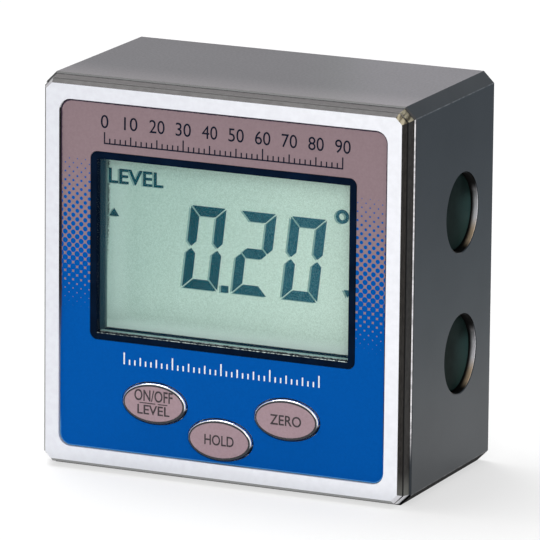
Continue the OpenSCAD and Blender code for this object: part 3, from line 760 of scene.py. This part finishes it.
def words(name, text, box, y, mat, body, weight=0.0):
    """A word as a flat mesh that fills a box x0, z0, x1, z1 on the front, raised off the plane y."""
    curve = bpy.data.curves.new(name, "FONT")
    curve.body = text
    curve.size = 1.0
    curve.offset = weight
    curve.extrude = 0.001
    curve.resolution_u = 6
    temp = bpy.data.objects.new(name, curve)
    bpy.context.scene.collection.objects.link(temp)
    bpy.context.view_layer.update()
    graph = bpy.context.evaluated_depsgraph_get()
    mesh = bpy.data.meshes.new_from_object(temp.evaluated_get(graph))
    bpy.data.objects.remove(temp)
    bpy.data.curves.remove(curve)
    x0, z0, x1, z1 = box
    lo = [min(v.co[i] for v in mesh.vertices) for i in range(3)]
    hi = [max(v.co[i] for v in mesh.vertices) for i in range(3)]
    for v in mesh.vertices:
        u, w, d = [(v.co[i] - lo[i]) / (hi[i] - lo[i]) for i in range(3)]
        v.co = ((x0 + u * (x1 - x0)) * MM, (y - d * INK) * MM, (z0 + w * (z1 - z0)) * MM)
    mesh.materials.clear()
    place(name, mesh, mat, body)


def segments(w, h, t, gap):
    """The bars of a display digit of width w, height h and bar thickness t, from its lower left corner."""
    mid = h / 2
    top = [(gap, h), (w - gap, h), (w - t - gap, h - t), (t + gap, h - t)]
    upper = [
        (0, h - gap), (t, h - t - gap), (t, mid + t / 2 + gap),
        (t / 2, mid + gap), (0, mid + t / 2 + gap),
    ]
    middle = [
        (t / 2 + gap, mid), (t + gap, mid + t / 2), (w - t - gap, mid + t / 2),
        (w - t / 2 - gap, mid), (w - t - gap, mid - t / 2), (t + gap, mid - t / 2),
    ]

    def flip_x(shape):
        return [(w - x, z) for x, z in reversed(shape)]

    def flip_z(shape):
        return [(x, h - z) for x, z in reversed(shape)]

    return {
        "a": top,
        "b": flip_x(upper),
        "c": flip_z(flip_x(upper)),
        "d": flip_z(top),
        "e": flip_z(upper),
        "f": upper,
        "g": middle,
    }


def digit(lit, x, z):
    """The lit bars of a digit that leans to the right, from its lower left corner."""
    slant = 0.115
    bars = segments(w=5.75, h=12.7, t=1.5, gap=0.16)
    return [[(x + px + slant * pz, z + pz) for px, pz in bars[b]] for b in lit]


def segment_ink():
    """Dark blue-green, speckled and lighter to the right."""
    s = Shader("segment_ink", roughness=0.6, specular=0.1)
    speckle = s.ramp(s.noise(0.22, detail=5.0), 0.35, 0.65)
    dark_x, light_x = -10.0, 16.0
    side = s.ramp(s.x, dark_x, light_x)
    deep = s.mix(side, srgb(0, 58, 72), srgb(20, 80, 98))
    worn = s.mix(side, srgb(8, 82, 96), srgb(56, 110, 124))
    s.colour(s.mix(speckle, deep, worn))
    return s.mat


def display():
    """The reading, its two pointers and its word, each with the faint shadow that it casts in the glass."""
    ink = segment_ink()
    ghost = grained(
        "segment_shadow", srgb(120, 156, 154), srgb(136, 170, 164), 0.3, roughness=0.6, specular=0.1)
    lit = {"0": "abcdef", "2": "abged"}
    digit_starts = (-8.15, 0.0, 8.1)
    foot = SILL + 7.4
    shapes = []
    for figure, x in zip("020", digit_starts):
        shapes += digit(lit[figure], x, foot)
    decimal_point = bar(-1.75, foot - 0.05, -0.55, foot + 1.0)
    up_pointer = [(-20.2, foot + 9.75), (-18.55, foot + 9.75), (-19.4, foot + 11.0)]
    down_pointer = [(18.15, foot + 2.45), (18.75, foot + 1.3), (19.3, foot + 2.45)]
    shapes += [decimal_point, up_pointer, down_pointer]
    degree_x, degree_z = 17.8, foot + 13.45
    degree_radii = (1.06, 0.54)
    degree = (degree_x, degree_z, *degree_radii)
    piece("display_reading", shapes, PANEL_FACE, 2 * INK, ink, "gauge", [degree])

    # The shadows lie a little down and to the left, under the ink
    dx, dz = -0.32, -0.12
    cast = [[(x + dx, z + dz) for x, z in shape] for shape in shapes]
    cast_degree = (degree_x + dx, degree_z + dz, *degree_radii)
    piece("display_reading_shadow", cast, PANEL_FACE, INK, ghost, "gauge", [cast_degree])

    word_left, word_right = -20.3, -11.3
    word_foot, word_top = foot + 14.75, foot + 17.05
    word_dx, word_dz = -0.3, -0.1
    weight = 0.02
    box = (word_left, word_foot, word_right, word_top)
    cast_box = (word_left + word_dx, word_foot + word_dz, word_right + word_dx, word_top + word_dz)
    words("display_word", "LEVEL", box, PANEL_FACE - INK, ink, "gauge", weight)
    words("display_word_shadow", "LEVEL", cast_box, PANEL_FACE, ghost, "gauge", weight)


def legends():
    """The words on the keys, and the broken line between the two words of the left key."""
    ink = grained("legend_ink", srgb(58, 53, 56), srgb(72, 66, 69), 0.3, roughness=0.6, specular=0.1)
    weight = 0.012
    # Each word: the end of its piece's name, its text, width, height and rise above the key's middle
    rows_of = {
        "mode": (("ON-OFF", "ON/OFF", 6.3, 1.75, 1.2), ("LEVEL", "LEVEL", 5.3, 1.45, -0.98)),
        "hold": (("HOLD", "HOLD", 4.8, 1.6, 0.0),),
        "zero": (("ZERO", "ZERO", 5.05, 1.6, -0.05),),
    }
    line_foot, line_top = -0.04, 0.1
    line_ends = ((-2.3, 0.3), (0.7, 2.3))
    for key in KEYS:
        body = key + "_button"
        lo, hi = span(key + "_key")
        cx = (lo.x + hi.x) / 2
        cz = (lo.z + hi.z) / 2
        for label, text, w, h, up in rows_of[key]:
            box = (cx - w / 2, cz + up - h / 2, cx + w / 2, cz + up + h / 2)
            words(key + "_legend_" + label, text, box, lo.y, ink, body, weight)
        if len(rows_of[key]) > 1:
            bars = [bar(cx + x0, cz + line_foot, cx + x1, cz + line_top) for x0, x1 in line_ends]
            piece(key + "_legend_bars", bars, lo.y, INK, ink, body)


def spread(half, count):
    """Evenly spaced places from -half to half."""
    return [half * (2 * i / (count - 1) - 1) for i in range(count)]


def tick_length(i, long_every, middle_every, lengths):
    """Length of a scale's tick: long, middle or short by its number."""
    long, middle, short = lengths
    if i % long_every == 0:
        return long
    return middle if i % middle_every == 0 else short


def scale_ticks(white):
    """White ticks under the window."""
    half, count = 15.9, 37
    half_tick = 0.11
    foot = WINDOW_LO.z - 3.4
    ticks = []
    for i, x in enumerate(spread(half, count)):
        top = foot + tick_length(i, long_every=9, middle_every=3, lengths=(1.8, 1.25, 0.8))
        ticks.append(bar(x - half_tick, foot, x + half_tick, top))
    piece("scale_ticks", ticks, LABEL_FACE, INK, white, "gauge")


def number_scale(dark):
    """Dark scale above the window: a rule with ticks as one comb, and a number over every fifth tick."""
    half, count, number_count = 19.3, 46, 10
    half_tick, rule_h = 0.1, 0.2
    foot = WINDOW_HI.z + 1.25
    rule_top = foot + rule_h
    comb = [(half + half_tick, foot), (-half - half_tick, foot)]
    for i, x in enumerate(spread(half, count)):
        left, right = x - half_tick, x + half_tick
        tip = foot + tick_length(i, long_every=15, middle_every=5, lengths=(1.8, 1.4, 0.9))
        comb += [(left, rule_top), (left, tip), (right, tip), (right, rule_top)]
    # The rule's ends run straight up into the outer ticks, so the corners at their outer feet go
    del comb[2]
    del comb[-1]
    piece("scale_rule", [comb], LABEL_FACE, INK, dark, "gauge")

    number_foot, number_top = foot + 2.4, foot + 4.4
    half_figure, narrow_one = 0.62, 0.15
    for i, x in enumerate(spread(half, number_count)):
        text = str(10 * i)
        half_w = half_figure * len(text) - (narrow_one if "1" in text else 0.0)
        box = (x - half_w, number_foot, x + half_w, number_top)
        words("scale_number_" + text, text, box, LABEL_FACE, dark, "gauge")


def label_marks():
    """The printed scales on the label."""
    white = grained("mark_white", srgb(232, 236, 240), srgb(244, 246, 248), 0.3, specular=0.1)
    dark = grained("mark_dark", srgb(16, 22, 36), srgb(24, 30, 46), 0.3, specular=0.02)
    scale_ticks(white)
    number_scale(dark)


def stage_sheet(name, corners):
    """A flat sheet of the studio, which isn't part of the object."""
    mesh = bpy.data.meshes.new(name)
    mesh.from_pydata(corners, [], [range(len(corners))])
    made = bpy.data.objects.new(name, mesh)
    bpy.context.scene.collection.objects.link(made)
    return made


def seen_plainly(tree):
    """1 for rays from the camera, off gloss or through glass, 0 for the rest."""
    path = tree.nodes.new("ShaderNodeLightPath")
    seen = path.outputs["Is Camera Ray"]
    for kind in ("Is Glossy Ray", "Is Transmission Ray"):
        larger = tree.nodes.new("ShaderNodeMath")
        larger.operation = "MAXIMUM"
        tree.links.new(seen, larger.inputs[0])
        tree.links.new(path.outputs[kind], larger.inputs[1])
        seen = larger.outputs[0]
    return seen


def white_floor():
    """Pale floor that keeps the object's shadow and is lifted towards white where it is seen."""
    half = 3.0
    lift = 0.6
    corners = [(-half, -half, 0), (half, -half, 0), (half, half, 0), (-half, half, 0)]
    s = Shader("floor_white", roughness=0.9, specular=0.0)
    s.colour(s.mottled(s.noise(60.0), (0.84, 0.84, 0.84, 1), (0.87, 0.87, 0.87, 1)))
    glow = s.node("ShaderNodeEmission")
    s.surface(s.mix_shaders(s.mul(seen_plainly(s.tree), lift), s.bsdf.outputs[0], glow.outputs[0]))
    stage_sheet("floor", corners).data.materials.append(s.mat)


def grey_card(name, ends, low, high, tone, foot_tone=None):
    """Upright card over two points of the floor that only reflections see. A foot tone fades out upwards."""
    (x0, y0), (x1, y1) = ends
    made = stage_sheet(name, [(x0, y0, low), (x1, y1, low), (x1, y1, high), (x0, y0, high)])
    made.visible_camera = False
    made.visible_diffuse = False
    made.visible_shadow = False
    s = Shader(name + "_look")
    light = s.node("ShaderNodeEmission")
    if foot_tone:
        foot_height = 34.0
        tone = s.mix(s.ramp(s.z, 0.0, foot_height, smooth=False), foot_tone, tone)
    s.put(light.inputs["Color"], tone)
    s.surface(light.outputs[0])
    made.data.materials.append(s.mat)


def white_world():
    """White where it is seen, and a dimmer fill on matt surfaces."""
    fill, white = 0.42, 1.0
    world = bpy.data.worlds.new("studio")
    bpy.context.scene.world = world
    world.use_nodes = True
    tree = world.node_tree
    background = tree.nodes["Background"]
    background.inputs["Color"].default_value = (1.0, 1.0, 1.0, 1.0)
    level = tree.nodes.new("ShaderNodeMapRange")
    level.inputs["To Min"].default_value = fill
    level.inputs["To Max"].default_value = white
    tree.links.new(seen_plainly(tree), level.inputs["Value"])
    tree.links.new(level.outputs[0], background.inputs["Strength"])


def softbox(name, stand, size, watts):
    """Square lamp that faces the middle of the object."""
    aim = Vector((0, 0, MID_Z * MM))
    lamp = bpy.data.lights.new(name, "AREA")
    lamp.shape = "SQUARE"
    lamp.size = size
    lamp.energy = watts
    made = bpy.data.objects.new(name, lamp)
    bpy.context.scene.collection.objects.link(made)
    made.location = stand
    made.rotation_euler = (aim - Vector(stand)).to_track_quat("-Z", "Y").to_euler()


def aim_camera(azimuth, elevation, roll, distance, focal_px, shift_right, shift_up):
    """Camera at the photograph's angle: degrees, millimetres, and the focal length in the frame's pixels."""
    frame_px = 540
    az, el, ro = (math.radians(a) for a in (azimuth, elevation, roll))
    back = Vector((math.sin(az) * math.cos(el), -math.cos(az) * math.cos(el), math.sin(el)))
    right = Vector((math.cos(az), math.sin(az), 0.0))
    up = back.cross(right)
    target = Vector((0.0, 0.0, MID_Z)) + right * shift_right + up * shift_up
    rolled_right = right * math.cos(ro) + up * math.sin(ro)
    rolled_up = up * math.cos(ro) - right * math.sin(ro)
    data = bpy.data.cameras.new("camera")
    data.sensor_width = 36.0
    data.lens = focal_px / frame_px * data.sensor_width
    made = bpy.data.objects.new("camera", data)
    bpy.context.scene.collection.objects.link(made)
    turned = Matrix((rolled_right, rolled_up, back)).transposed().to_4x4()
    made.matrix_world = Matrix.Translation((target + back * distance) * MM) @ turned
    bpy.context.scene.camera = made


# The object
dress_nodes()
display()
legends()
label_marks()

# The studio
white_floor()
white_world()
grey_card("card_right", ((0.057, 0.02), (0.057, 0.16)), low=0.0, high=0.25,
          tone=(0.40, 0.46, 0.52, 1), foot_tone=(0.73, 0.80, 0.84, 1))
grey_card("card_left", ((-0.3, 0.1), (-0.035, 0.1)), low=0.065, high=0.16, tone=(0.96, 0.925, 0.955, 1))
grey_card("card_back", ((-0.03, 0.1), (0.015, 0.1)), low=0.065, high=0.16, tone=(1.2, 1.15, 1.2, 1))
softbox("softbox_top", stand=(-0.3, 0.1, 0.85), size=0.6, watts=8.0)
softbox("softbox_front", stand=(0.62, -1.4, 0.7), size=0.8, watts=9.2)
aim_camera(azimuth=24.411, elevation=13.287, roll=0.553, distance=1040.0, focal_px=6947.1,
           shift_right=0.669, shift_up=-0.202)
bpy.context.scene.view_settings.view_transform = "Standard"
